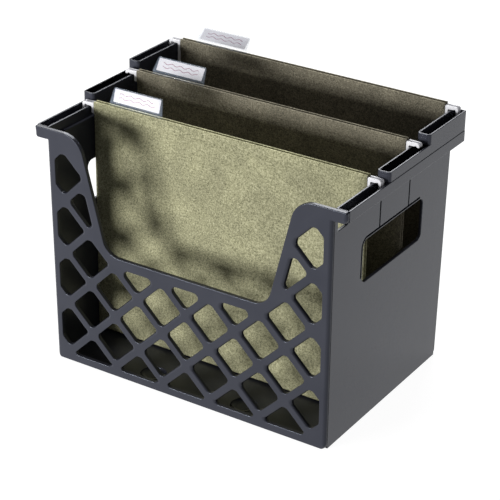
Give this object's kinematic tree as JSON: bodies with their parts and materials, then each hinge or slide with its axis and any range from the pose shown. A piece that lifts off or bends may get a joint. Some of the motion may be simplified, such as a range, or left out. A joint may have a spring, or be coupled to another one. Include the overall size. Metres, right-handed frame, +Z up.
{
  "type": "hanging file rack",
  "caption": "Open-topped desktop rack with a lattice front, stepped side rails and hanging files that slide along the rails and open.",
  "frame": {"origin": "on the desk, under the middle of the rack", "axes": "+X right along the front, +Y to the rear, +Z up"},
  "size_m": [0.336, 0.2269, 0.2823],
  "materials": {
    "rack_plastic": "satin black moulded plastic, fine sheen",
    "pressboard_light": "mottled olive pressboard, matt",
    "pressboard_dark": "mottled dark olive pressboard, matt",
    "rod_steel": "plain steel strip inside the hem",
    "hook_plastic": "smooth white plastic",
    "tab_plastic": "clear, faintly blue plastic",
    "label_paper": "white card with plain ink strokes that spell nothing"
  },
  "bodies": {
    "rack": {"front_panel": "rack_plastic", "rear_panel": "rack_plastic", "floor_panel": "rack_plastic", "side_panel_right": "rack_plastic", "side_panel_left": "rack_plastic", "rim_channel_right": "rack_plastic", "rim_channel_left": "rack_plastic"},
    "file_front": {"file_front_rear_flap": "pressboard_light", "file_front_rear_rod": "rod_steel", "file_front_rear_hook_right": "hook_plastic", "file_front_rear_hook_left": "hook_plastic"},
    "file_front_opening_flap": {"file_front_front_flap": "pressboard_light", "file_front_front_rod": "rod_steel", "file_front_front_hook_right": "hook_plastic", "file_front_front_hook_left": "hook_plastic", "file_front_tab": "tab_plastic", "file_front_label": "label_paper"},
    "file_middle": {"file_middle_rear_flap": "pressboard_dark", "file_middle_rear_rod": "rod_steel", "file_middle_rear_hook_right": "hook_plastic", "file_middle_rear_hook_left": "hook_plastic"},
    "file_middle_opening_flap": {"file_middle_front_flap": "pressboard_dark", "file_middle_front_rod": "rod_steel", "file_middle_front_hook_right": "hook_plastic", "file_middle_front_hook_left": "hook_plastic", "file_middle_tab": "tab_plastic", "file_middle_label": "label_paper"},
    "file_rear": {"file_rear_rear_flap": "pressboard_dark", "file_rear_rear_rod": "rod_steel", "file_rear_rear_hook_right": "hook_plastic", "file_rear_rear_hook_left": "hook_plastic"},
    "file_rear_opening_flap": {"file_rear_front_flap": "pressboard_dark", "file_rear_front_rod": "rod_steel", "file_rear_front_hook_right": "hook_plastic", "file_rear_front_hook_left": "hook_plastic", "file_rear_tab": "tab_plastic", "file_rear_label": "label_paper"}
  },
  "joints": [
    {"name": "file_front_slide", "type": "slide", "parent": "rack", "child": "file_front", "axis": [0, -1, 0], "range_m": [0, 0.03]},
    {"name": "file_front_open", "type": "slide", "parent": "file_front", "child": "file_front_opening_flap", "axis": [0, -1, 0], "range_m": [0, 0.027]},
    {"name": "file_middle_slide", "type": "slide", "parent": "rack", "child": "file_middle", "axis": [0, -1, 0], "range_m": [0, 0.03]},
    {"name": "file_middle_open", "type": "slide", "parent": "file_middle", "child": "file_middle_opening_flap", "axis": [0, -1, 0], "range_m": [0, 0.027]},
    {"name": "file_rear_slide", "type": "slide", "parent": "rack", "child": "file_rear", "axis": [0, -1, 0], "range_m": [0, 0.03]},
    {"name": "file_rear_open", "type": "slide", "parent": "file_rear", "child": "file_rear_opening_flap", "axis": [0, -1, 0], "range_m": [0, 0.027]}
  ]
}
